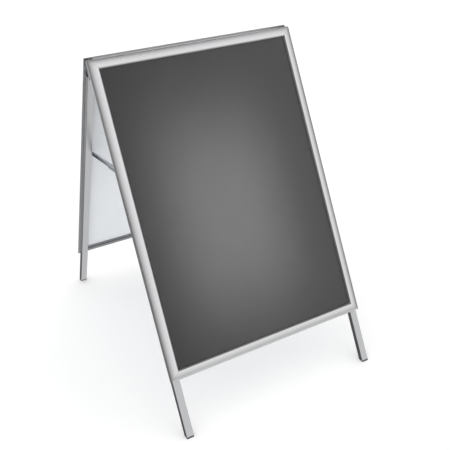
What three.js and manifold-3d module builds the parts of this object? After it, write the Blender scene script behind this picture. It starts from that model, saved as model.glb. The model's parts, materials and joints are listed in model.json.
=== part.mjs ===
// Folding pavement sign: two leaning snap-frame boards on tube legs, hinged at the top, with side stays.
// Millimetres, +Z up. The origin is on the ground, midway between the four feet.
// The front board faces -Y. Left and right are the viewer's, looking along +Y, so left is -X.
import * as THREE from 'three';
import { mergeVertices } from 'three/addons/utils/BufferGeometryUtils.js';
import Module from 'manifold-3d';

const wasm = await Module();
wasm.setup();

// ---- Driving dimensions ----

const LEAN = THREE.MathUtils.degToRad(26);   // of each board from the vertical
const HINGE_HEIGHT = 925;                    // of the hinge pins above the ground
const HINGE_OFFSET = 29;                     // from the hinge axis out to the back of each frame
const GAP = 0.3;                             // between pieces that touch
const MARGIN = 1;                            // by which a cutting solid runs past the piece it cuts
const ARC_STEPS = 8;                         // in each rounded corner or bar end
const ROUND_STEPS = 20;                      // round a pin or rivet

const POSTER = { width: 610, height: 880, thickness: 0.4 };
const OPENING = { width: 590, height: 860 }; // the poster that shows inside the frame
const COVER_WIDTH = 29.5;                    // of a snap cover's face
const FRAME = { width: OPENING.width + 2 * COVER_WIDTH, height: OPENING.height + 2 * COVER_WIDTH };
const FRAME_ABOVE_HINGE = 44;                // top edge of the frame, up the board from the hinge axis

const PANEL_THICKNESS = 3;
const SHEET_THICKNESS = 0.8;
const LEDGE_HEIGHT = 3.9;                    // of the rails' ledge that the panel lies on
const MITRE_GAP = 0.2;                       // taken off each mitred end, along the rail

const SHEET_MARGIN = 2;                      // by which poster and sheet fall short of the panel's edges

const LEG = { width: 22, depth: 18, wall: 1.2, corner: 1.5, innerCorner: 0.6, inset: 6, top: -9 };
const FOOT_THICKNESS = 4;
const PLUG_LENGTH = 25;

const PIN = { radius: 3, head: 5, headHeight: 1.5 };
const BRACKET = { width: 20.6, wall: 2, top: 20, bottom: -8, eye: 6.2, bridgeTop: 10, bridgeAt: 6.6 };
const CAP = { top: 51.5, bottom: 45, clearance: 0.5, length: 25 };

const STAY = {
  rearReach: 337, frontReach: 293,           // from the hinge axis down each board to the stay's end pivots
  tail: 14,                                  // of the flat arm past the knee pin
  height: 12, channel: 6, flat: 3, wall: 1.5,
  armGap: 0.4,                               // from flat arm to channel arm
};
const RIVET = { radius: 2.4, head: 4.5, headHeight: 1.2, spacer: 4, play: 0.3 };
const KNEE = { behind: 24, beyond: 1.4 };     // how far the block reaches either side of its pin

// ---- Materials ----

const finishes = {
  rail: { color: 0xb4b6ba, roughness: 0.45, metalness: 0.9 },
  cover: { color: 0xc6c7ca, roughness: 0.38, metalness: 0.9 },
  leg: { color: 0xbcbec2, roughness: 0.42, metalness: 0.9 },
  panel: { color: 0xd4d9de, roughness: 0.6, metalness: 0.1 },
  poster: { color: 0x4a4b4c, roughness: 0.7, metalness: 0 },
  sheet: { color: 0xf4f7fa, roughness: 0.2, metalness: 0, transparent: true, opacity: 0.25 },
  steel: { color: 0x8b9299, roughness: 0.4, metalness: 1 },
  plastic: { color: 0x151517, roughness: 0.55, metalness: 0 },
  rubber: { color: 0x55575a, roughness: 0.8, metalness: 0 },
};

function namedMesh(name, geometry, finish) {
  const mesh = new THREE.Mesh(geometry, new THREE.MeshStandardMaterial(finishes[finish]));
  mesh.name = name;
  return mesh;
}

// ---- Solids ----

function toSolid(geometry) {
  const bare = geometry.clone();
  bare.deleteAttribute('normal');
  bare.deleteAttribute('uv');
  const merged = mergeVertices(bare);
  return new wasm.Manifold(new wasm.Mesh({
    numProp: 3,
    vertProperties: Float32Array.from(merged.attributes.position.array),
    triVerts: Uint32Array.from(merged.index.array),
  }));
}

function toGeometry(solid) {
  const { vertProperties, triVerts } = solid.getMesh();
  const geometry = new THREE.BufferGeometry();
  geometry.setAttribute('position', new THREE.BufferAttribute(vertProperties, 3));
  geometry.setIndex(new THREE.BufferAttribute(triVerts, 1));
  return geometry;
}

const joined = (a, b) => toGeometry(toSolid(a).add(toSolid(b)));
const cut = (a, b) => toGeometry(toSolid(a).subtract(toSolid(b)));
const common = (a, b) => toGeometry(toSolid(a).intersect(toSolid(b)));

const polygon = (points) => new THREE.Shape(points.map(([x, y]) => new THREE.Vector2(x, y)));

const extruded = (shape, depth) =>
  new THREE.ExtrudeGeometry(shape, { depth, bevelEnabled: false, curveSegments: ARC_STEPS });

// A section drawn in (y, z), swept along +X from x = start.
function sweptAlongX(shape, start, length) {
  const toYZ = new THREE.Matrix4().makeBasis(
    new THREE.Vector3(0, 1, 0), new THREE.Vector3(0, 0, 1), new THREE.Vector3(1, 0, 0));
  return extruded(shape, length).applyMatrix4(toYZ).translate(start, 0, 0);
}

// A section drawn in (x, z), swept down the board from y = top.
const sweptDown = (shape, top, length) => extruded(shape, length).rotateX(Math.PI / 2).translate(0, top, 0);

const boxBetween = (x, y, z) => new THREE.BoxGeometry(x[1] - x[0], y[1] - y[0], z[1] - z[0])
  .translate((x[0] + x[1]) / 2, (y[0] + y[1]) / 2, (z[0] + z[1]) / 2);

function roundedRectangle(width, height, radius, centreX, centreY) {
  const [x, y] = [centreX - width / 2, centreY - height / 2];
  const shape = new THREE.Shape();
  shape.moveTo(x + radius, y);
  shape.lineTo(x + width - radius, y);
  shape.absarc(x + width - radius, y + radius, radius, -Math.PI / 2, 0);
  shape.lineTo(x + width, y + height - radius);
  shape.absarc(x + width - radius, y + height - radius, radius, 0, Math.PI / 2);
  shape.lineTo(x + radius, y + height);
  shape.absarc(x + radius, y + height - radius, radius, Math.PI / 2, Math.PI);
  shape.lineTo(x, y + radius);
  shape.absarc(x + radius, y + radius, radius, Math.PI, 1.5 * Math.PI);
  return shape;
}

// Round the X axis: a list of [x, radius] steps that starts and ends on the axis.
function turnedOnX(steps) {
  const profile = steps.map(([x, radius]) => new THREE.Vector2(radius, x));
  return new THREE.LatheGeometry(profile, ROUND_STEPS).rotateZ(-Math.PI / 2);
}

// ---- Board axes ----
// Each board is built in its own axes, from the hinge axis: x across, y up the board, z out through its face.
// The frame's back lies at z = BACK. The front board leans back by LEAN; the rear one is turned round, so the
// viewer's left is at -x in the front board's axes and at +x in the rear board's.

const BACK = HINGE_OFFSET;
const FRAME_TOP = FRAME_ABOVE_HINGE;
const FRAME_MIDDLE = FRAME_TOP - FRAME.height / 2;
const PANEL_BACK = BACK + LEDGE_HEIGHT + GAP;
const POSTER_BACK = PANEL_BACK + PANEL_THICKNESS + GAP;
const SHEET_BACK = POSTER_BACK + POSTER.thickness + GAP;

// ---- Snap frame ----
// Sections are drawn as [distance in from the frame's outer edge, height above the frame's back].

const railSection = [
  [2.0, 0], [15.0, 0], [15.0, 2.5], [25.2, 2.5], [25.2, 0], [26.6, 0], [26.6, LEDGE_HEIGHT],
  [15.0, LEDGE_HEIGHT], [15.0, 7.2], [13.6, 7.2], [13.6, 1.4], [4.4, 1.4], [4.4, 6.0], [3.0, 6.0],
  [3.0, 1.4], [2.0, 1.4],
];

// The cover's outer line rises from its foot, turns over the shoulder, climbs the gently rounded face to the
// ridge and falls to the lip on the clear sheet. Tilts are the line's own, in degrees from the frame's plane.
const COVER = {
  wall: 1.4, foot: 1.2, wallTop: 4.6,
  shoulderRadius: 4.5, faceRadius: 49, ridgeRadius: 2,
  faceTilt: 31, ridgeTilt: 3, lipTilt: -48,
  lipHeight: 9.4,
};

// A strip of even thickness that follows a bent line.
function stripSection(line, thickness) {
  const points = line.map(([x, y]) => new THREE.Vector2(x, y));
  const normals = points.map((point, i) => {
    const before = points[Math.max(i - 1, 0)];
    const after = points[Math.min(i + 1, points.length - 1)];
    const inward = point.clone().sub(before).normalize();
    const onward = after.clone().sub(point).normalize();
    const along = inward.add(onward).normalize();
    return new THREE.Vector2(-along.y, along.x);
  });
  const side = (sign) => points.map((point, i) => {
    const moved = point.clone().addScaledVector(normals[i], sign * thickness / 2);
    return [moved.x, moved.y];
  });
  return [...side(1), ...side(-1).reverse()];
}

// Points along an arc that starts at a place and bends from one tilt to a lower one.
function bend([x, y], radius, fromTilt, toTilt, steps) {
  const [from, to] = [fromTilt, toTilt].map(THREE.MathUtils.degToRad);
  return Array.from({ length: steps }, (_, i) => {
    const tilt = from + (to - from) * (i + 1) / steps;
    return [x + radius * (Math.sin(from) - Math.sin(tilt)), y + radius * (Math.cos(tilt) - Math.cos(from))];
  });
}

function coverSection() {
  const { wall, foot, wallTop, lipHeight } = COVER;
  const { shoulderRadius, faceRadius, ridgeRadius, faceTilt, ridgeTilt, lipTilt } = COVER;
  const half = wall / 2;
  const line = [[half, foot], [half, wallTop]];
  line.push(...bend(line.at(-1), shoulderRadius - half, 90, faceTilt, 4));
  line.push(...bend(line.at(-1), faceRadius - half, faceTilt, ridgeTilt, 4));
  line.push(...bend(line.at(-1), ridgeRadius - half, ridgeTilt, lipTilt, 3));
  line.push([COVER_WIDTH - half, lipHeight + half]);
  return stripSection(line, wall);
}

const SPRING = {
  line: [[12.4, 2.0], [5.0, 2.0], [7.0, 5.6], [9.6, 8.2], [11.8, 7.4]],
  thickness: 0.5,
  length: 70,
};

// A section swept along X under the top edge, centred, with its outer edge at y = 0.
function railAlong(section, length) {
  const drawn = polygon(section.map(([inward, height]) => [-inward, height]));
  return sweptAlongX(drawn, -length / 2, length);
}

// The same, with both ends cut back at 45 degrees.
function mitredRail(section, length) {
  const geometry = railAlong(section, length);
  const position = geometry.attributes.position;
  for (let i = 0; i < position.count; i++) {
    const reach = length / 2 + position.getY(i) - MITRE_GAP;
    position.setX(i, Math.sign(position.getX(i)) * reach);
  }
  return geometry;
}

// The edges of a frame whose left side lies at x = leftward * half its width: each edge's name, its turn from
// the top edge, its length and the middle of its outer edge.
function frameEdges(leftward) {
  const { width, height } = FRAME;
  const leftX = leftward * width / 2;
  const leftTurn = -leftward * Math.PI / 2;
  return [
    { edge: 'top', turn: 0, length: width, x: 0, y: FRAME_TOP },
    { edge: 'bottom', turn: Math.PI, length: width, x: 0, y: FRAME_TOP - height },
    { edge: 'left', turn: leftTurn, length: height, x: leftX, y: FRAME_MIDDLE },
    { edge: 'right', turn: -leftTurn, length: height, x: -leftX, y: FRAME_MIDDLE },
  ];
}

function frameEdgePieces(prefix, { edge, turn, length, x, y }) {
  const place = (geometry) => geometry.rotateZ(turn).translate(x, y, BACK);
  const name = `${prefix}_${edge}`;
  const spring = railAlong(stripSection(SPRING.line, SPRING.thickness), SPRING.length);
  return [
    namedMesh(`${name}_rail`, place(mitredRail(railSection, length)), 'rail'),
    namedMesh(`${name}_snap_cover`, place(mitredRail(coverSection(), length)), 'cover'),
    namedMesh(`${name}_spring`, place(spring), 'steel'),
  ];
}

// ---- Panel, poster and clear sheet ----

function flatSheet(inset, back, thickness) {
  const halfWidth = POSTER.width / 2 - inset;
  const top = FRAME_MIDDLE + POSTER.height / 2 - inset;
  const bottom = FRAME_MIDDLE - POSTER.height / 2 + inset;
  return boxBetween([-halfWidth, halfWidth], [bottom, top], [back, back + thickness]);
}

function facePieces(prefix) {
  return [
    namedMesh(`${prefix}_back_panel`, flatSheet(0, PANEL_BACK, PANEL_THICKNESS), 'panel'),
    namedMesh(`${prefix}_poster`, flatSheet(SHEET_MARGIN, POSTER_BACK, POSTER.thickness), 'poster'),
    namedMesh(`${prefix}_clear_sheet`, flatSheet(SHEET_MARGIN, SHEET_BACK, SHEET_THICKNESS), 'sheet'),
  ];
}

const EYE = RIVET.radius + RIVET.play;       // radius of a rivet's hole

// ---- Legs and feet ----

const LEG_FRONT = BACK - GAP;
const LEG_BACK = LEG_FRONT - LEG.depth;
const LEG_MIDDLE = (LEG_FRONT + LEG_BACK) / 2;
const LEG_CENTRE = FRAME.width / 2 - LEG.inset - LEG.width / 2;
const LEG_INNER = LEG_CENTRE - LEG.width / 2;

// How far up the board, at depth z, a level plane lies that is a given height above the ground.
const level = (height) => (z) => (height - HINGE_HEIGHT - z * Math.sin(LEAN)) / Math.cos(LEAN);

// A section swept down the board, each end at the place that its function gives for a depth z.
function sweptBetween(shape, topAt, bottomAt) {
  const geometry = sweptDown(shape, 1, 2);
  const position = geometry.attributes.position;
  for (let i = 0; i < position.count; i++) {
    const endAt = position.getY(i) > 0 ? topAt : bottomAt;
    position.setY(i, endAt(position.getZ(i)));
  }
  return geometry;
}

// A leg's outline, shrunk on every side.
const legOutline = (x, shrink, corner) =>
  roundedRectangle(LEG.width - 2 * shrink, LEG.depth - 2 * shrink, corner, x, LEG_MIDDLE);

// Turns a piece drawn along x on the right-hand side to either side of the board.
const onSide = (geometry, side) => geometry.rotateZ(side > 0 ? 0 : Math.PI);

function legTube(x, stayReach) {
  const outline = legOutline(x, 0, LEG.corner);
  outline.holes.push(legOutline(x, LEG.wall, LEG.innerCorner));
  const tube = sweptBetween(outline, () => LEG.top, level(FOOT_THICKNESS + GAP));
  const [holeStart, holeEnd] = [LEG_INNER - MARGIN, LEG_INNER + LEG.wall + MARGIN];
  const hole = turnedOnX([[holeStart, 0], [holeStart, EYE], [holeEnd, EYE], [holeEnd, 0]]);
  return cut(tube, onSide(hole, x).translate(0, -stayReach, LEG_MIDDLE));
}

// A sole the size of the leg, level with the ground, and the plug that holds it in the tube.
function legFoot(x) {
  const sole = sweptBetween(legOutline(x, 0, LEG.corner), level(FOOT_THICKNESS), level(0));
  const plug = legOutline(x, LEG.wall + GAP, LEG.innerCorner);
  return joined(sole, sweptBetween(plug, level(PLUG_LENGTH), level(FOOT_THICKNESS / 2)));
}

// ---- Hinges ----

// A steel channel on the back of the frame, whose two lugs reach in to the pin with a bridge between them.
// The rear board's is the narrower one, so its lugs turn between the front board's.
function hingeBracket(x, width) {
  const { wall, top, bottom, eye, bridgeTop, bridgeAt } = BRACKET;
  const back = BACK - GAP;
  const lugEnd = -eye - MARGIN;
  const [left, right] = [x - width / 2, x + width / 2];
  const channel = polygon([
    [left, lugEnd], [left + wall, lugEnd], [left + wall, back - wall], [right - wall, back - wall],
    [right - wall, lugEnd], [right, lugEnd], [right, back], [left, back],
  ]);
  const outline = polygon([[top, back + MARGIN], [bottom, back + MARGIN]]);
  outline.lineTo(-eye, 0);
  outline.absarc(0, 0, eye, Math.PI, 2 * Math.PI);
  const hole = new THREE.Path();
  hole.absarc(0, 0, PIN.radius + GAP, 0, 2 * Math.PI);
  outline.holes.push(hole);
  const upright = sweptDown(channel, top + MARGIN, top + eye + 2 * MARGIN);
  const lugs = common(upright, sweptAlongX(outline, left - MARGIN, width + 2 * MARGIN));
  return joined(lugs, boxBetween([left, right], [bottom, bridgeTop], [bridgeAt, bridgeAt + wall]));
}

function hingePin(x) {
  const half = BRACKET.width / 2 + GAP;
  const end = half + PIN.headHeight;
  return turnedOnX([
    [-end, 0], [-end, PIN.head], [-half, PIN.head], [-half, PIN.radius],
    [half, PIN.radius], [half, PIN.head], [end, PIN.head], [end, 0],
  ]).translate(x, 0, HINGE_HEIGHT);
}

// A wedge that closes the end of the gap between the two frames' backs, flush with their sides. It rides on
// the rear board.
function hingeCap(side) {
  const meeting = HINGE_OFFSET / Math.sin(LEAN);
  const halfGap = (height) => (meeting - height) * Math.tan(LEAN) - CAP.clearance;
  const wedge = polygon([
    [-halfGap(CAP.top), HINGE_HEIGHT + CAP.top], [-halfGap(CAP.bottom), HINGE_HEIGHT + CAP.bottom],
    [halfGap(CAP.bottom), HINGE_HEIGHT + CAP.bottom], [halfGap(CAP.top), HINGE_HEIGHT + CAP.top],
  ]);
  const middle = side * (FRAME.width - CAP.length) / 2;
  return sweptAlongX(wedge, middle - CAP.length / 2, CAP.length);
}

// ---- Side stays ----
// The end pivots go through the legs' inner sides, so the arms fold up between the closed boards' legs.

// Places across the sign, as distances out from its middle.
const FLAT_OUTER = LEG_INNER - GAP;
const FLAT_INNER = FLAT_OUTER - STAY.flat;
const CHANNEL_OUTER = FLAT_INNER - STAY.armGap;
const CHANNEL_INNER = CHANNEL_OUTER - STAY.channel;

// The end pivots, as (y, z) places, and the direction from the rear one to the front one.
const pivotAt = (reach, towards) => new THREE.Vector2(
  towards * (reach * Math.sin(LEAN) + LEG_MIDDLE * Math.cos(LEAN)),
  HINGE_HEIGHT - reach * Math.cos(LEAN) + LEG_MIDDLE * Math.sin(LEAN),
);
const rearPivot = pivotAt(STAY.rearReach, 1);
const frontPivot = pivotAt(STAY.frontReach, -1);
const stayDirection = frontPivot.clone().sub(rearPivot).normalize();

// The arms differ in length as their pivots do in height, so that they fold up side by side.
const STAY_SPAN = rearPivot.distanceTo(frontPivot);
const REAR_ARM = (STAY_SPAN + STAY.rearReach - STAY.frontReach) / 2;
const FRONT_ARM = STAY_SPAN - REAR_ARM;

// A bar with round ends, drawn along +x from the middle of its first end, with rivet holes at some places.
function armOutline(length, height, holes = []) {
  const shape = new THREE.Shape();
  shape.moveTo(0, -height / 2);
  shape.lineTo(length, -height / 2);
  shape.absarc(length, 0, height / 2, -Math.PI / 2, Math.PI / 2);
  shape.lineTo(0, height / 2);
  shape.absarc(0, 0, height / 2, Math.PI / 2, 1.5 * Math.PI);
  for (const x of holes) {
    const eye = new THREE.Path();
    eye.absarc(x, 0, EYE, 0, 2 * Math.PI);
    shape.holes.push(eye);
  }
  return shape;
}

// Turns a piece drawn along +x, with +z towards the middle of the sign, onto the stay's line.
function ontoStay(geometry, side, outer, pivot, direction) {
  const along = new THREE.Vector3(0, direction.x, direction.y);
  const inward = new THREE.Vector3(-side, 0, 0);
  const across = new THREE.Vector3().crossVectors(inward, along);
  return geometry.applyMatrix4(new THREE.Matrix4().makeBasis(along, across, inward))
    .translate(side * outer, pivot.x, pivot.y);
}

// The channel's open side faces the leg.
function channelArm() {
  const bar = extruded(armOutline(REAR_ARM, STAY.height, [0, REAR_ARM]), STAY.channel);
  const pocket = extruded(armOutline(REAR_ARM, STAY.height - 2 * STAY.wall), STAY.channel);
  return cut(bar, pocket.translate(0, 0, -STAY.wall));
}

function flatArm() {
  return extruded(armOutline(FRONT_ARM + STAY.tail, STAY.height, [0]), STAY.flat);
}

// The knee block fills the end of the channel, and its pin goes through the web to a head. The pin stops
// short of the flat arm, because the two arms part here while the boards fold.
function kneeBlock() {
  const half = STAY.height / 2 - STAY.wall - GAP;
  const block = boxBetween([-KNEE.behind, KNEE.beyond], [-half, half], [0, STAY.channel - STAY.wall - GAP]);
  const end = STAY.channel + GAP + RIVET.headHeight;
  const pin = new THREE.CylinderGeometry(RIVET.radius, RIVET.radius, end, ROUND_STEPS);
  const head = new THREE.CylinderGeometry(RIVET.head, RIVET.head, RIVET.headHeight, ROUND_STEPS);
  pin.rotateX(Math.PI / 2).translate(0, 0, end / 2);
  head.rotateX(Math.PI / 2).translate(0, 0, end - RIVET.headHeight / 2);
  return joined(joined(block, pin), head).translate(REAR_ARM, 0, 0);
}

// A rivet through a leg's inner side and an arm, with a head inside the tube and one inside the arm. The
// channel's web stands off the leg, so its rivet has a spacer on it.
function stayRivet(side, armInner, pivot, hasSpacer) {
  const { radius, head, headHeight, spacer } = RIVET;
  const start = armInner - GAP;
  const end = LEG_INNER + LEG.wall + GAP;
  const [spacerStart, spacerEnd] = [armInner + STAY.wall + GAP, LEG_INNER - GAP];
  const collar = hasSpacer
    ? [[spacerStart, radius], [spacerStart, spacer], [spacerEnd, spacer], [spacerEnd, radius]]
    : [];
  const profile = [
    [start - headHeight, 0], [start - headHeight, head], [start, head], [start, radius], ...collar,
    [end, radius], [end, head], [end + headHeight, head], [end + headHeight, 0],
  ];
  return onSide(turnedOnX(profile), side).translate(0, pivot.x, pivot.y);
}

function stayPieces(name, side) {
  const onChannelArm = (geometry) => ontoStay(geometry, side, CHANNEL_OUTER, rearPivot, stayDirection);
  const backwards = stayDirection.clone().negate();
  const onFlatArm = (geometry) => ontoStay(geometry, side, FLAT_OUTER, frontPivot, backwards);
  return [
    namedMesh(`${name}_stay_channel_arm`, onChannelArm(channelArm()), 'steel'),
    namedMesh(`${name}_stay_knee_block`, onChannelArm(kneeBlock()), 'plastic'),
    namedMesh(`${name}_stay_flat_arm`, onFlatArm(flatArm()), 'steel'),
    namedMesh(`${name}_stay_rear_rivet`, stayRivet(side, CHANNEL_INNER, rearPivot, true), 'steel'),
    namedMesh(`${name}_stay_front_rivet`, stayRivet(side, FLAT_INNER, frontPivot, false), 'steel'),
  ];
}

// ---- Assembly ----

const sides = [['left', -1], ['right', 1]];

// The pieces of one leg, at x in its board's axes.
function legPieces(name, x, bracketWidth, stayReach) {
  return [
    namedMesh(`${name}_leg`, legTube(x, stayReach), 'leg'),
    namedMesh(`${name}_foot`, legFoot(x), 'rubber'),
    namedMesh(`${name}_hinge_bracket`, hingeBracket(x, bracketWidth), 'steel'),
  ];
}

// The viewer's right lies at x = rightward * half the width in the board's own axes.
function board(prefix, rightward, bracketWidth, stayReach) {
  const lean = new THREE.Group();
  lean.rotation.x = Math.PI / 2 - LEAN;
  lean.add(...frameEdges(-rightward).flatMap((edge) => frameEdgePieces(prefix, edge)), ...facePieces(prefix));
  for (const [name, side] of sides) {
    lean.add(...legPieces(`${prefix}_${name}`, rightward * side * LEG_CENTRE, bracketWidth, stayReach));
  }
  const turned = new THREE.Group();
  turned.rotation.z = rightward > 0 ? 0 : Math.PI;
  turned.position.z = HINGE_HEIGHT;
  turned.add(lean);
  return turned;
}

const innerBracketWidth = BRACKET.width - 2 * BRACKET.wall - 4 * GAP;
const sign = new THREE.Group();
sign.add(
  board('front', 1, BRACKET.width, STAY.frontReach),
  board('rear', -1, innerBracketWidth, STAY.rearReach),
);
for (const [name, side] of sides) {
  sign.add(
    namedMesh(`${name}_hinge_pin`, hingePin(side * LEG_CENTRE), 'steel'),
    namedMesh(`${name}_hinge_cap`, hingeCap(side), 'plastic'),
    ...stayPieces(name, side),
  );
}

export default sign;
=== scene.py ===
import json
import math

import bmesh
import bpy
from mathutils import Matrix, Vector

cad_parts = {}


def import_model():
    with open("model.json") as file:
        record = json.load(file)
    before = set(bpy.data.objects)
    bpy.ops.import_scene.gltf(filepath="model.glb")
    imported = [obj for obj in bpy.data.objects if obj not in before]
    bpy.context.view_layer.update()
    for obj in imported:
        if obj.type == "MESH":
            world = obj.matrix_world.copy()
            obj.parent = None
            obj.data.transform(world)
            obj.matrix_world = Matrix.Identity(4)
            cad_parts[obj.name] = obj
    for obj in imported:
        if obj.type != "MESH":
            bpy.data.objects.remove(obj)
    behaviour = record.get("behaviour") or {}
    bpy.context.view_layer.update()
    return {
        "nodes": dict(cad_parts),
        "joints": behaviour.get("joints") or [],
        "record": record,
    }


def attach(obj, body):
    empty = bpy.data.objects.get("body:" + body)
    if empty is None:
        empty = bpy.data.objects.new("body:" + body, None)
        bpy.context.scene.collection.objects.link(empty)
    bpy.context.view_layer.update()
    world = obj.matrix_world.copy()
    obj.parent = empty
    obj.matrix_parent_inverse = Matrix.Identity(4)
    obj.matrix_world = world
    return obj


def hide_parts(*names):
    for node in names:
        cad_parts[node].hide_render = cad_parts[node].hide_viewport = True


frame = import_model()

MM = 0.001
RECORD = frame["record"]
BODY_OF = {node: body for body, nodes in RECORD["behaviour"]["bodies"].items() for node in nodes}
JOINTS = {joint["name"]: joint for joint in frame["joints"]}

# ---- Axes ----
# A board's own axes start at the hinge: x across, y up the board and z out through its face.

HINGE = Vector(JOINTS["board_hinge"]["pos_m"])
LEAN = math.radians(JOINTS["board_hinge"]["range_deg"][1] / 2)
BOARDS = ("front", "rear")
EDGES = ("top", "bottom", "left", "right")
SIDES = ("left", "right")


def turned(degrees, axis):
    """A turn about one of the axes."""
    return Matrix.Rotation(math.radians(degrees), 4, axis)


def board_axes(board):
    """The axes of one board at rest, with the hinge as their origin."""
    facing = turned(180 if board == "rear" else 0, "Z")
    return Matrix.Translation(HINGE) @ facing @ Matrix.Rotation(math.pi / 2 - LEAN, 4, "X")


AXES = {board: board_axes(board) for board in BOARDS}


def box_in(axes, node):
    """The lowest and highest corner of a CAD node in other axes."""
    to_local = axes.inverted()
    points = [to_local @ vertex.co for vertex in frame["nodes"][node].data.vertices]
    return [Vector(map(pick, zip(*points))) for pick in (min, max)]


def edge_axes(board, edge):
    """Axes at the middle of one edge of a frame: x along it, y outward and z out from the frame's back."""
    across = 90 if board == "front" else -90
    turn = {"top": 0, "bottom": 180, "left": across, "right": -across}[edge]
    axes = AXES[board] @ turned(turn, "Z")
    low, high = box_in(axes, f"{board}_{edge}_snap_cover")
    rail_low, _ = box_in(axes, f"{board}_{edge}_rail")
    return axes @ Matrix.Translation(((low.x + high.x) / 2, high.y, rail_low.z))


# ---- Meshes ----

# In degrees: edges sharper than the first two are kept sharp, and edges sharper than the third are rounded.
CAD_CREASE = 32
COVER_CREASE = 30
ROUNDED_CREASE = 50
# A CAD mesh's corners are joined within a distance in millimetres, and its faces within an angle in degrees.
JOIN_WITHIN = 0.002
FLAT_WITHIN = 0.5
# How far each kind of piece has its edges rounded, in millimetres. Thin pieces are left sharp.
ROUNDING = {
    "rail": 0.2, "spring": 0, "cover": 0.25, "panel": 0.3, "poster": 0, "sheet": 0,
    "leg": 0.25, "foot": 0.8, "bracket": 0.3, "arm": 0.3, "block": 0.6, "rivet": 0.4,
    "pin": 0.4, "cap": 0.6,
}


def new_piece(name, mesh, axes):
    piece = bpy.data.objects.new(name, mesh)
    bpy.context.scene.collection.objects.link(piece)
    piece.matrix_world = axes
    return piece


def shade(mesh, crease):
    """Shades the mesh smooth, apart from edges sharper than a crease in degrees."""
    mesh.shade_smooth()
    mesh.set_sharp_from_angle(angle=math.radians(crease))


def soften(piece, width):
    """Rounds the piece's edges by a width in millimetres. The rounded edges take the second material."""
    bevel = piece.modifiers.new("soft edges", "BEVEL")
    bevel.width = width * MM
    bevel.segments = 2
    bevel.limit_method = "ANGLE"
    bevel.angle_limit = math.radians(ROUNDED_CREASE)
    bevel.miter_outer = "MITER_ARC"
    bevel.material = 1 if len(piece.data.materials) > 1 else -1


def paint(piece, materials):
    for material in materials:
        piece.data.materials.append(material)


def finish_piece(piece, node, materials, width):
    """Gives a piece its looks and the body of the CAD node that it stands for, and hides that node."""
    paint(piece, materials)
    if width:
        soften(piece, width)
    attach(piece, BODY_OF[node])
    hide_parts(node)


def flat_faced(mesh):
    """Joins the mesh's split corners and turns its flat areas into single faces."""
    work = bmesh.new()
    work.from_mesh(mesh)
    bmesh.ops.remove_doubles(work, verts=work.verts, dist=JOIN_WITHIN * MM)
    bmesh.ops.dissolve_limit(
        work, angle_limit=math.radians(FLAT_WITHIN), verts=work.verts, edges=work.edges,
        delimit=set())
    work.to_mesh(mesh)
    work.free()


def refined(node, axes, materials, kind):
    """Draws a CAD node's shape with softened edges, in axes that run along the piece for its grain."""
    mesh = frame["nodes"][node].data.copy()
    mesh.materials.clear()
    mesh.transform(axes.inverted())
    flat_faced(mesh)
    shade(mesh, CAD_CREASE)
    piece = new_piece(f"{node}_refined", mesh, axes)
    finish_piece(piece, node, materials, ROUNDING[kind])


def mesh_from(name, points, faces):
    """A mesh from points and from faces that list them, with its faces turned outward."""
    mesh = bpy.data.meshes.new(name)
    work = bmesh.new()
    corners = [work.verts.new(point) for point in points]
    for face in faces:
        work.faces.new([corners[index] for index in face])
    bmesh.ops.recalc_face_normals(work, faces=work.faces)
    work.to_mesh(mesh)
    work.free()
    return mesh


# ---- Materials ----

class Nodes:
    """Short calls for building one material's node tree."""

    def __init__(self, tree):
        self.tree = tree
        self.tree.nodes.clear()

    def add(self, kind, settings=None, **inputs):
        node = self.tree.nodes.new(kind)
        for name, value in (settings or {}).items():
            setattr(node, name, value)
        for name, value in inputs.items():
            self.set(node, name.replace("_", " "), value)
        return node

    def set(self, node, name, value):
        """Sets an input, by its name or number, to a value or to another node's output."""
        socket = node.inputs[int(name)] if name.isdigit() else node.inputs[name]
        if isinstance(value, bpy.types.NodeSocket):
            self.tree.links.new(value, socket)
        else:
            socket.default_value = value

    def math(self, operation, first, second=0.0):
        node = self.add("ShaderNodeMath", {"operation": operation})
        self.set(node, "0", first)
        self.set(node, "1", second)
        return node.outputs[0]

    def mixed(self, first, share, second):
        """The first value by its share, plus the second by the rest."""
        part = self.math("MULTIPLY", first, share)
        rest = self.math("MULTIPLY", second, 1.0 - share)
        return self.math("ADD", part, rest)

    def stretched(self, scale):
        """The piece's own coordinates, scaled along each axis."""
        place = self.add("ShaderNodeTexCoord").outputs["Object"]
        return self.add("ShaderNodeMapping", Vector=place, Scale=scale).outputs[0]

    def noise(self, scale, size=1.0, detail=3.0, roughness=0.55):
        """Smooth noise, finer where its scale along an axis is larger."""
        return self.add(
            "ShaderNodeTexNoise", Vector=self.stretched(scale), Scale=size, Detail=detail,
            Roughness=roughness).outputs["Fac"]

    def ranged(self, value, low, high, start=0.3, end=0.7):
        """A value between start and end spread over low to high."""
        node = self.add("ShaderNodeMapRange", Value=value)
        self.set(node, "From Min", start)
        self.set(node, "From Max", end)
        self.set(node, "To Min", low)
        self.set(node, "To Max", high)
        return node.outputs["Result"]

    def between(self, value, first, second):
        """A colour between two, by a value from 0 to 1."""
        node = self.add("ShaderNodeMix", {"data_type": "RGBA"})
        factor, start, end = (node.inputs[index] for index in (0, 6, 7))
        self.tree.links.new(value, factor)
        start.default_value = (*first, 1)
        end.default_value = (*second, 1)
        return node.outputs[2]

    def bump(self, height, strength, depth):
        """A bump of a depth in millimetres."""
        return self.add("ShaderNodeBump", Height=height, Strength=strength, Distance=depth * MM).outputs[0]


def new_material(name):
    material = bpy.data.materials.new(name)
    material.use_nodes = True
    return material, Nodes(material.node_tree)


def surface(nodes, shader):
    """Makes a shader the material's surface."""
    output = nodes.add("ShaderNodeOutputMaterial")
    nodes.tree.links.new(shader.outputs[0], output.inputs["Surface"])


def scaled(colour, factor):
    return tuple(part * factor for part in colour)


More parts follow.
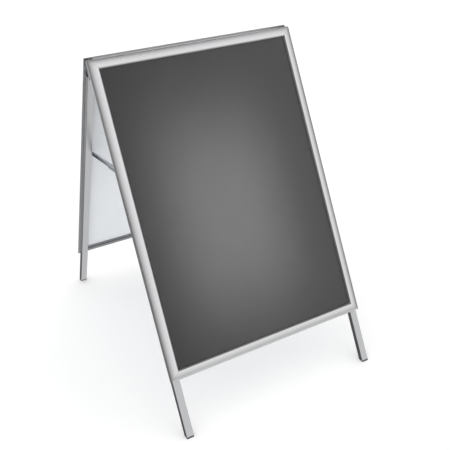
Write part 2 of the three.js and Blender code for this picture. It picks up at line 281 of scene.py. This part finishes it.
def satin_metal(name, colour, smooth, rough, line_depth):
    """Anodised or drawn metal with fine lines along x, soft clouding and a dull handled look."""
    material, nodes = new_material(name)
    lines = nodes.noise((6, 1400, 1400), detail=4)
    bands = nodes.noise((1.5, 160, 160), detail=2)
    clouds = nodes.noise((7, 22, 22), detail=5)
    grain = nodes.noise((2600, 2600, 2600), detail=2)
    tone = nodes.mixed(lines, 0.35, clouds)
    roughness = nodes.math(
        "ADD", nodes.ranged(clouds, smooth, rough), nodes.ranged(bands, -0.025, 0.025))
    height = nodes.mixed(lines, 0.8, grain)
    shader = nodes.add(
        "ShaderNodeBsdfPrincipled", Metallic=1.0,
        Roughness=roughness,
        Normal=nodes.bump(height, 0.35, line_depth))
    nodes.set(shader, "Base Color", nodes.between(
        nodes.ranged(tone, 0, 1), scaled(colour, 0.95), scaled(colour, 1.04)))
    surface(nodes, shader)
    return material


def zinc_plate(name, colour):
    """Zinc-plated steel: faintly blue, spangled in patches, with small stains."""
    material, nodes = new_material(name)
    patches = nodes.add(
        "ShaderNodeTexVoronoi", {"feature": "SMOOTH_F1"}, Vector=nodes.stretched((1, 1, 1)),
        Scale=420.0, Smoothness=0.4).outputs["Color"]
    spangle = nodes.add("ShaderNodeSeparateColor", Color=patches).outputs[0]
    stains = nodes.noise((60, 60, 60), detail=6, roughness=0.65)
    scratches = nodes.noise((40, 900, 900), detail=3)
    tone = nodes.mixed(spangle, 0.25, stains)
    shader = nodes.add(
        "ShaderNodeBsdfPrincipled", Metallic=1.0,
        Roughness=nodes.ranged(tone, 0.24, 0.42),
        Normal=nodes.bump(scratches, 0.25, 0.03))
    nodes.set(shader, "Base Color", nodes.between(
        nodes.ranged(tone, 0, 1), scaled(colour, 0.86), scaled(colour, 1.06)))
    surface(nodes, shader)
    return material


def moulded(name, colour, rough, grain_size, grain_depth):
    """Moulded plastic or rubber with a fine matt grain and scuffs."""
    material, nodes = new_material(name)
    grain = nodes.noise((1, 1, 1), size=grain_size, detail=3)
    scuffs = nodes.noise((90, 240, 240), detail=5, roughness=0.7)
    scuffed = tuple(part * 1.5 + 0.004 for part in colour)
    shader = nodes.add(
        "ShaderNodeBsdfPrincipled",
        Roughness=nodes.ranged(scuffs, rough - 0.08, rough + 0.08),
        Normal=nodes.bump(grain, 0.4, grain_depth))
    nodes.set(shader, "Base Color", nodes.between(
        nodes.ranged(scuffs, 0, 1, start=0.35, end=0.8), colour, scuffed))
    surface(nodes, shader)
    return material


def panel_plastic():
    """The pale back panel: extruded sheet with a slightly uneven surface and faint rub marks."""
    material, nodes = new_material("panel plastic")
    peel = nodes.noise((1, 1, 1), size=700.0, detail=2)
    marks = nodes.noise((9, 2.5, 9), detail=6, roughness=0.6)
    shader = nodes.add(
        "ShaderNodeBsdfPrincipled",
        Roughness=nodes.ranged(marks, 0.34, 0.5),
        Normal=nodes.bump(peel, 0.25, 0.05))
    nodes.set(shader, "Base Color", nodes.between(
        nodes.ranged(marks, 0, 1), (0.72, 0.74, 0.765), (0.775, 0.79, 0.81)))
    surface(nodes, shader)
    return material


# The poster is a dark grey card with a soft lighter patch near its middle. The patch is given in metres in
# its board's axes: its centre, how far it reaches across and up, and how abruptly it ends. The greys are how
# much light the card and the patch send back, what both gain for each metre to the right, and the grain.
PATCH = {"centre": (-0.030, -0.464), "reach": (0.207, 0.319), "sharpness": 2.7}
POSTER_GREYS = {"dark": 0.048, "light": 0.212, "gain_across": 0.054, "grain": 0.003}


def patch_fall(nodes, value, centre, reach):
    """How far a place lies from the patch's centre along one axis, which is 1 at the patch's reach."""
    offset = nodes.math("SUBTRACT", value, centre)
    distance = nodes.math("ABSOLUTE", nodes.math("DIVIDE", offset, reach))
    return nodes.math("POWER", distance, PATCH["sharpness"])


def poster_card():
    """The poster: a dark grey card with a soft lighter patch, growing lighter to the right, and no print."""
    material, nodes = new_material("poster card")
    place = nodes.add("ShaderNodeTexCoord").outputs["Object"]
    split = nodes.add("ShaderNodeSeparateXYZ", Vector=place)
    across, upward = (
        patch_fall(nodes, split.outputs[axis], PATCH["centre"][axis], PATCH["reach"][axis])
        for axis in (0, 1))
    spread = nodes.math("MULTIPLY", nodes.math("ADD", across, upward), -1.0)
    patch = nodes.math("MULTIPLY", nodes.math("EXPONENT", spread), POSTER_GREYS["light"] - POSTER_GREYS["dark"])
    gain = nodes.math("MULTIPLY", split.outputs[0], POSTER_GREYS["gain_across"])
    dots = nodes.noise((1, 1, 1), size=2600.0, detail=2)
    card = nodes.ranged(dots, POSTER_GREYS["dark"] - POSTER_GREYS["grain"], POSTER_GREYS["dark"] + POSTER_GREYS["grain"])
    shade_of_grey = nodes.math("ADD", nodes.math("ADD", patch, gain), card)
    grey = nodes.add("ShaderNodeCombineColor")
    for channel in range(3):
        nodes.tree.links.new(shade_of_grey, grey.inputs[channel])
    shader = nodes.add(
        "ShaderNodeBsdfPrincipled", Roughness=0.6, Specular_IOR_Level=0.1,
        Normal=nodes.bump(dots, 0.15, 0.02))
    nodes.tree.links.new(grey.outputs[0], shader.inputs["Base Color"])
    surface(nodes, shader)
    return material


# How much light the sheet's gloss sends back and its clear part lets through, and the share of gloss: the
# least, seen straight on, and what is added as the view gets shallow, with how late that starts.
SHEET = {"gloss": 0.4, "clear": 0.98, "least": 0.04, "added": 0.9, "lateness": 5.0}


def grey_of(level):
    return (level, level, level, 1)


def clear_plastic():
    """The clear anti-glare sheet: see-through, with a soft gloss that grows at shallow angles."""
    material, nodes = new_material("clear plastic")
    haze = nodes.noise((5, 5, 5), detail=4)
    grain = nodes.noise((1, 1, 1), size=1800.0, detail=2)
    normal = nodes.bump(grain, 0.15, 0.02)
    gloss = nodes.add(
        "ShaderNodeBsdfGlossy", Roughness=nodes.ranged(haze, 0.24, 0.34), Normal=normal)
    nodes.set(gloss, "Color", grey_of(SHEET["gloss"]))
    clear = nodes.add("ShaderNodeBsdfTransparent", Color=grey_of(SHEET["clear"]))
    slant = nodes.add("ShaderNodeLayerWeight", Blend=0.5).outputs["Facing"]
    late_slant = nodes.math("POWER", slant, SHEET["lateness"])
    share = nodes.math("ADD", nodes.math("MULTIPLY", late_slant, SHEET["added"]), SHEET["least"])
    mixed = nodes.add("ShaderNodeMixShader")
    nodes.tree.links.new(share, mixed.inputs[0])
    nodes.tree.links.new(clear.outputs[0], mixed.inputs[1])
    nodes.tree.links.new(gloss.outputs[0], mixed.inputs[2])
    surface(nodes, mixed)
    return material


# Each piece's materials, with the one for its rounded edges second where it has two.
COVER_METAL = [
    satin_metal("anodised cover", (0.74, 0.74, 0.75), 0.27, 0.34, 0.02),
    satin_metal("worn cover edge", (0.86, 0.86, 0.86), 0.22, 0.3, 0.01)]
RAIL_METAL = [
    satin_metal("anodised rail", (0.70, 0.71, 0.72), 0.36, 0.44, 0.02),
    satin_metal("worn rail edge", (0.84, 0.84, 0.84), 0.22, 0.3, 0.01)]
# The bottom rails are given a darker colour than the others, as the rear one looks: painted shade, standing
# in for the shade under the sign that they reflect.
SHADED_RAIL_METAL = [
    satin_metal("rail painted with shade", (0.30, 0.31, 0.32), 0.40, 0.50, 0.02),
    satin_metal("worn edge painted with shade", (0.50, 0.50, 0.51), 0.28, 0.36, 0.01)]
LEG_METAL = [
    satin_metal("anodised leg", (0.55, 0.555, 0.565), 0.28, 0.36, 0.02),
    satin_metal("worn leg edge", (0.76, 0.76, 0.76), 0.22, 0.3, 0.01)]
STEEL = [zinc_plate("zinc plate", (0.60, 0.63, 0.66))]
NYLON = [moulded("black nylon", (0.014, 0.014, 0.015), 0.45, 1500.0, 0.03)]
RUBBER = [moulded("foot rubber", (0.05, 0.05, 0.052), 0.6, 1100.0, 0.05)]
PANEL = [panel_plastic()]
POSTER = [poster_card()]
CLEAR = [clear_plastic()]

# ---- Snap covers ----
# The section in millimetres: a wall up from the foot, a shoulder, a gently rounded face, a ridge and a
# slope down to the lip. Radii are those of the outer side. Tilts are in degrees from the frame's plane.

COVER = {
    "width": 29.5, "wall": 1.4, "foot": 1.2, "wall_top": 4.6,
    "shoulder_radius": 4.5, "face_radius": 49.0, "ridge_radius": 2.0,
    "face_tilt": 31.0, "ridge_tilt": 3.0, "lip_tilt": -48.0,
    "lip_height": 9.4, "mitre_gap": 0.1,
}
BEND_STEPS = {"shoulder": 8, "face": 8, "ridge": 5}


def bend(start, radius, from_tilt, to_tilt, steps):
    """Points along an arc that starts at a place and bends from one tilt to a lower one."""
    points = []
    first = math.radians(from_tilt)
    for step in range(1, steps + 1):
        tilt = math.radians(from_tilt + (to_tilt - from_tilt) * step / steps)
        points.append((
            start[0] + radius * (math.sin(first) - math.sin(tilt)),
            start[1] + radius * (math.cos(tilt) - math.cos(first))))
    return points


def strip(line, thickness):
    """A closed strip of even thickness that follows a bent line of (inward, height) points."""
    sides = ([], [])
    for index, point in enumerate(line):
        before = Vector(line[max(index - 1, 0)])
        after = Vector(line[min(index + 1, len(line) - 1)])
        along = Vector((0, 0))
        for step in (Vector(point) - before, after - Vector(point)):
            if step.length > 0:
                along += step.normalized()
        across = Vector((-along.y, along.x)).normalized() * thickness / 2
        sides[0].append(Vector(point) + across)
        sides[1].append(Vector(point) - across)
    return sides[0] + sides[1][::-1]


def cover_section():
    """The cover's section: a strip along the middle of its wall."""
    half = COVER["wall"] / 2
    line = [(half, COVER["foot"]), (half, COVER["wall_top"])]
    tilts = [90, COVER["face_tilt"], COVER["ridge_tilt"], COVER["lip_tilt"]]
    for part, from_tilt, to_tilt in zip(BEND_STEPS, tilts, tilts[1:]):
        radius = COVER[f"{part}_radius"] - half
        line += bend(line[-1], radius, from_tilt, to_tilt, BEND_STEPS[part])
    line.append((COVER["width"] - half, COVER["lip_height"] + half))
    return strip(line, COVER["wall"])


def mitred_sweep(name, section, length, gap):
    """A section of (inward, height) points swept along an edge, cut at 45 degrees at both ends."""
    count = len(section)
    points = []
    for side in (-1, 1):
        for inward, height in section:
            points.append((side * (length / 2 - (inward + gap) * MM), -inward * MM, height * MM))
    around = []
    for index in range(count):
        following = (index + 1) % count
        around.append([index, following, following + count, index + count])
    ends = [list(range(count)), list(range(count, 2 * count))]
    mesh = mesh_from(name, points, around + ends)
    shade(mesh, COVER_CREASE)
    return mesh


def snap_cover(board, edge):
    """Draws a snap cover with a finer curve than the CAD's, along the edge that the CAD cover fills."""
    node = f"{board}_{edge}_snap_cover"
    axes = edge_axes(board, edge)
    low, high = box_in(axes, node)
    length = high.x - low.x + 2 * COVER["mitre_gap"] * MM
    mesh = mitred_sweep(node, cover_section(), length, COVER["mitre_gap"])
    piece = new_piece(f"{node}_refined", mesh, axes)
    finish_piece(piece, node, COVER_METAL, ROUNDING["cover"])


# ---- Assembly ----

def frame_edge(board, edge):
    """One edge of a frame: its rail, leaf spring and snap cover."""
    axes = edge_axes(board, edge)
    # Bottom rails take the darker metal: painted shade.
    rail_metal = SHADED_RAIL_METAL if edge == "bottom" else RAIL_METAL
    refined(f"{board}_{edge}_rail", axes, rail_metal, "rail")
    refined(f"{board}_{edge}_spring", axes, STEEL, "spring")
    snap_cover(board, edge)


def board_face(board):
    """What a frame holds: back panel, poster and clear sheet."""
    refined(f"{board}_back_panel", AXES[board], PANEL, "panel")
    refined(f"{board}_poster", AXES[board], POSTER, "poster")
    refined(f"{board}_clear_sheet", AXES[board], CLEAR, "sheet")


def leg_group(board, side):
    """One leg with its foot and hinge bracket, in axes that run along the leg."""
    along = AXES[board] @ turned(90, "Z")
    low, high = box_in(along, f"{board}_{side}_leg")
    axes = along @ Matrix.Translation((low + high) / 2)
    refined(f"{board}_{side}_leg", axes, LEG_METAL, "leg")
    refined(f"{board}_{side}_foot", axes, RUBBER, "foot")
    refined(f"{board}_{side}_hinge_bracket", axes, STEEL, "bracket")


def stay_axes(side):
    """Axes at the rear pivot with x along the stay."""
    rear = Vector(JOINTS[f"{side}_stay_rear_pivot"]["pos_m"])
    front = Vector(JOINTS[f"{side}_stay_front_pivot"]["pos_m"])
    along = (front - rear).normalized()
    tilt = math.atan2(along.z, along.y)
    return Matrix.Translation(rear) @ Matrix.Rotation(tilt, 4, "X") @ turned(90, "Z")


def side_stay(side):
    """A folding stay: two arms, the knee block between them and the two end rivets."""
    axes = stay_axes(side)
    refined(f"{side}_stay_channel_arm", axes, STEEL, "arm")
    refined(f"{side}_stay_flat_arm", axes, STEEL, "arm")
    refined(f"{side}_stay_knee_block", axes, NYLON, "block")
    refined(f"{side}_stay_rear_rivet", axes, STEEL, "rivet")
    refined(f"{side}_stay_front_rivet", axes, STEEL, "rivet")


def hinge(side):
    """One hinge's pin and the black cap beside it."""
    axes = Matrix.Translation(HINGE)
    refined(f"{side}_hinge_pin", axes, STEEL, "pin")
    refined(f"{side}_hinge_cap", axes, NYLON, "cap")


def sandwich_board():
    """The whole sign: two boards, and the stays and hinges between them."""
    for board in BOARDS:
        for edge in EDGES:
            frame_edge(board, edge)
        board_face(board)
        for side in SIDES:
            leg_group(board, side)
    for side in SIDES:
        side_stay(side)
        hinge(side)


sandwich_board()

# ---- Studio ----

# The floor is a disc with a glow of its own, which keeps the shadow under the sign faint.
FLOOR = {"radius": 30.0, "corners": 64, "glow": 0.10, "dark": 0.93, "light": 0.95}
# The soft lights that polished surfaces reflect: the direction of each, the cosines of the angles from it
# at which the light starts and is full, and its brightness.
GLOWS = [
    {"towards": (0.36, -0.87, 0.40), "start": 0.12, "full": 0.95, "light": 1.00},
    {"towards": (0.25, -0.20, -0.95), "start": 0.60, "full": 0.96, "light": 0.92},
    {"towards": (-0.20, 0.96, 0.08), "start": 0.80, "full": 0.94, "light": 0.90},
    {"towards": (-0.50, 0.74, 0.46), "start": 0.62, "full": 0.97, "light": 0.85},
    {"towards": (0.62, 0.68, 0.40), "start": 0.80, "full": 0.98, "light": 0.80},
    {"towards": (-1.00, 0.10, 0.00), "start": 0.85, "full": 1.00, "light": 0.30},
]
# The brightness of the rest of the studio in reflections, and of the even light on dull surfaces.
DIM = 0.12
EVEN_LIGHT = 1.08
INNER_LIGHT = {"place": (-0.10, 0.0, 0.03), "at": (-0.15, 0.03, 0.90), "size": 0.35, "watts": 0.4}


def inner_light():
    """A soft light low between the boards, which the camera and the polished surfaces don't see."""
    data = bpy.data.lights.new("inner light", "AREA")
    data.shape = "DISK"
    data.size = INNER_LIGHT["size"]
    data.energy = INNER_LIGHT["watts"]
    lamp = bpy.data.objects.new("inner light", data)
    bpy.context.scene.collection.objects.link(lamp)
    place = Vector(INNER_LIGHT["place"])
    facing = (Vector(INNER_LIGHT["at"]) - place).to_track_quat("-Z", "Y")
    lamp.matrix_world = Matrix.Translation(place) @ facing.to_matrix().to_4x4()
    lamp.visible_camera = False
    lamp.visible_glossy = False


def floor():
    """A plain pale floor, which the polished surfaces don't see."""
    turns = [corner * math.tau / FLOOR["corners"] for corner in range(FLOOR["corners"])]
    rim = [(FLOOR["radius"] * math.cos(turn), FLOOR["radius"] * math.sin(turn), 0) for turn in turns]
    mesh = mesh_from("floor", rim, [list(range(FLOOR["corners"]))])
    piece = new_piece("floor", mesh, Matrix.Identity(4))
    material, nodes = new_material("studio floor")
    cloud = nodes.noise((1.5, 1.5, 1.5), detail=3)
    shader = nodes.add(
        "ShaderNodeBsdfPrincipled", Roughness=0.8, Emission_Color=grey_of(1),
        Emission_Strength=FLOOR["glow"])
    nodes.set(shader, "Base Color", nodes.between(
        nodes.ranged(cloud, 0, 1), grey_of(FLOOR["dark"])[:3], grey_of(FLOOR["light"])[:3]))
    surface(nodes, shader)
    paint(piece, [material])
    piece.visible_glossy = False


def glow(nodes, place, towards, start, full, light):
    """How bright one soft light is in a direction."""
    cosine = nodes.add("ShaderNodeVectorMath", {"operation": "DOT_PRODUCT"})
    nodes.tree.links.new(place, cosine.inputs[0])
    cosine.inputs[1].default_value = Vector(towards).normalized()
    smooth = {"interpolation_type": "SMOOTHSTEP"}
    spread = nodes.add("ShaderNodeMapRange", smooth, Value=cosine.outputs["Value"])
    nodes.set(spread, "From Min", start)
    nodes.set(spread, "From Max", full)
    nodes.set(spread, "To Min", 0.0)
    nodes.set(spread, "To Max", light)
    return spread.outputs["Result"]


def world():
    """Even white light for dull surfaces, and soft lights on a dim surround for polished ones."""
    studio = bpy.data.worlds.new("studio")
    studio.use_nodes = True
    nodes = Nodes(studio.node_tree)
    place = nodes.add("ShaderNodeTexCoord").outputs["Generated"]
    brightest = DIM
    for settings in GLOWS:
        brightest = nodes.math("MAXIMUM", glow(nodes, place, **settings), brightest)
    rays = nodes.add("ShaderNodeLightPath")
    strength = nodes.add("ShaderNodeMix", {"data_type": "FLOAT"})
    is_glossy, even, soft = (strength.inputs[index] for index in (0, 2, 3))
    nodes.tree.links.new(rays.outputs["Is Glossy Ray"], is_glossy)
    even.default_value = EVEN_LIGHT
    nodes.tree.links.new(brightest, soft)
    background = nodes.add("ShaderNodeBackground", Strength=strength.outputs[0], Color=grey_of(1))
    output = nodes.add("ShaderNodeOutputWorld")
    nodes.tree.links.new(background.outputs[0], output.inputs["Surface"])
    bpy.context.scene.world = studio


# The camera's place, its turn round the upright, its downward tilt and its roll, then its lens and sensor
# in millimetres, its framing and the nearest and farthest things it sees.
CAMERA = {
    "place": (-0.8779, -1.9201, 1.5343), "azimuth": -30.251, "elevation": 25.939, "roll": -1.402,
    "lens": 58.25, "sensor": 36, "shift": (-0.0933, -0.0933), "clip": (0.05, 200),
}


def camera():
    data = bpy.data.cameras.new("camera")
    data.sensor_width = CAMERA["sensor"]
    data.lens = CAMERA["lens"]
    data.shift_x, data.shift_y = CAMERA["shift"]
    data.clip_start, data.clip_end = CAMERA["clip"]
    piece = bpy.data.objects.new("camera", data)
    bpy.context.scene.collection.objects.link(piece)
    facing = turned(CAMERA["azimuth"], "Z") @ turned(90 - CAMERA["elevation"], "X")
    piece.matrix_world = Matrix.Translation(CAMERA["place"]) @ facing @ turned(CAMERA["roll"], "Z")
    bpy.context.scene.camera = piece


floor()
world()
inner_light()
camera()
bpy.context.scene.view_settings.view_transform = "Standard"

bpy.context.view_layer.update()
